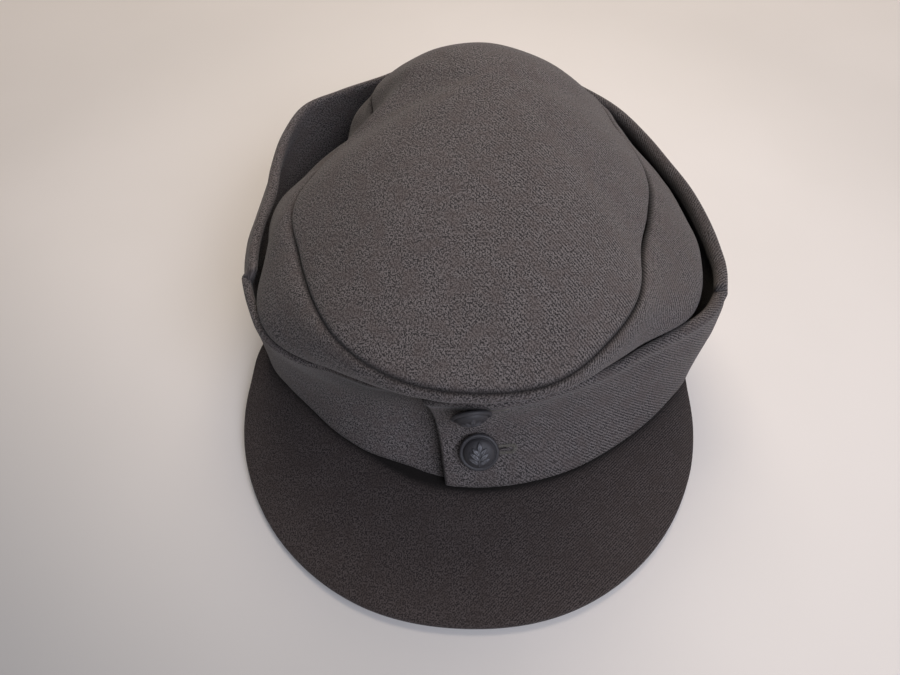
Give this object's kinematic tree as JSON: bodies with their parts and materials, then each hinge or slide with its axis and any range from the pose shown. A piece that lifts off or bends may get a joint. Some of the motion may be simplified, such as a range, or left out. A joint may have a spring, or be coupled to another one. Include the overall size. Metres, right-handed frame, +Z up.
{
  "type": "peaked field cap",
  "caption": "Soft peaked cap of grey wool twill with a cloth-covered visor and a folded-up ear flap band that buttons at the front.",
  "frame": {"origin": "middle of the head opening, on the surface the cap lies on", "axes": "+Z up, -Y out of the front over the visor, +X to the wearer's left"},
  "size_m": [0.2026, 0.254, 0.11],
  "materials": {
    "cloth": "matt grey wool twill, mottled",
    "visor_cloth": "matt darker grey wool twill",
    "button_metal": "worn grey-blue paint on a domed metal button"
  },
  "bodies": {
    "root": {"crown_side": "cloth", "crown_top": "cloth", "peak": "visor_cloth", "ear_flap": "cloth", "button_upper": "button_metal", "button_lower": "button_metal"}
  },
  "joints": []
}
